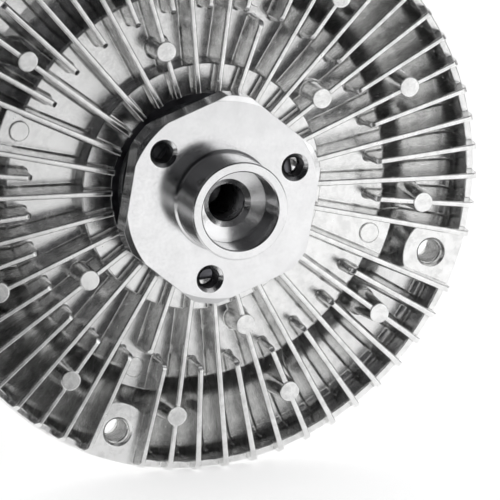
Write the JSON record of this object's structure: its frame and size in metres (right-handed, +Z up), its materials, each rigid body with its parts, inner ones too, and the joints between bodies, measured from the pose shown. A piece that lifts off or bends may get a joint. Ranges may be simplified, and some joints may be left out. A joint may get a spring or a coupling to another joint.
{
  "type": "viscous fan clutch",
  "caption": "Viscous fan clutch: a finned cast housing with fan lugs turns on a ball bearing round a flanged steel hub, driven through silicone fluid by a grooved rotor.",
  "frame": {"origin": "on the axis of rotation, in the plane of the hub's mounting face", "axes": "Y runs along the axis of rotation, with the hub's spigot towards -Y and the front cover and coil towards +Y; +Z is up"},
  "size_m": [0.191, 0.0968, 0.191],
  "materials": {
    "machined_steel": "bright turned steel, satin",
    "cast_aluminium": "bare die-cast aluminium with a fine mottled skin",
    "turned_aluminium": "turned aluminium",
    "bearing_steel": "ground bearing steel",
    "brass": "bare brass",
    "black_rubber": "moulded rubber",
    "spring_steel": "dark oiled spring steel",
    "zinc_steel": "zinc-plated steel",
    "bimetal": "rolled bimetal strip",
    "dark_plastic": "filled dark plastic"
  },
  "bodies": {
    "hub": {"hub_shaft": "machined_steel", "bearing_inner_race": "bearing_steel", "rotor_disc": "turned_aluminium", "rotor_clip": "spring_steel"},
    "housing": {"rear_housing": "cast_aluminium", "front_cover": "cast_aluminium", "cover_seal": "black_rubber", "bearing_outer_race": "bearing_steel", "bearing_seal_rear": "black_rubber", "bearing_seal_front": "black_rubber", "bearing_clip": "spring_steel", "separator_plate": "zinc_steel", "separator_screws": "zinc_steel", "pump_wiper": "dark_plastic", "fill_plug": "zinc_steel", "valve_bush": "brass", "valve_shaft_seal": "black_rubber", "bimetal_coil": "bimetal"},
    "ball_cage": {"bearing_balls": "bearing_steel", "bearing_cage": "brass"},
    "valve": {"valve_shaft": "zinc_steel", "valve_arm": "zinc_steel", "valve_clip": "spring_steel"}
  },
  "joints": [
    {"name": "housing_spin", "type": "hinge", "parent": "hub", "child": "housing", "pos_m": [0, 0, 0], "axis": [0, 1, 0], "continuous": true},
    {"name": "cage_spin", "type": "hinge", "parent": "hub", "child": "ball_cage", "pos_m": [0, 0, 0], "axis": [0, 1, 0], "continuous": true},
    {"name": "valve_turn", "type": "hinge", "parent": "housing", "child": "valve", "pos_m": [0, 0, 0], "axis": [0, 1, 0], "range_deg": [0, 30], "stiffness_Nm_per_rad": 0.02, "deforming": ["bimetal_coil"]}
  ],
  "couplings": [
    {"joint": "cage_spin", "follows": "housing_spin", "ratio": 0.6033}
  ]
}
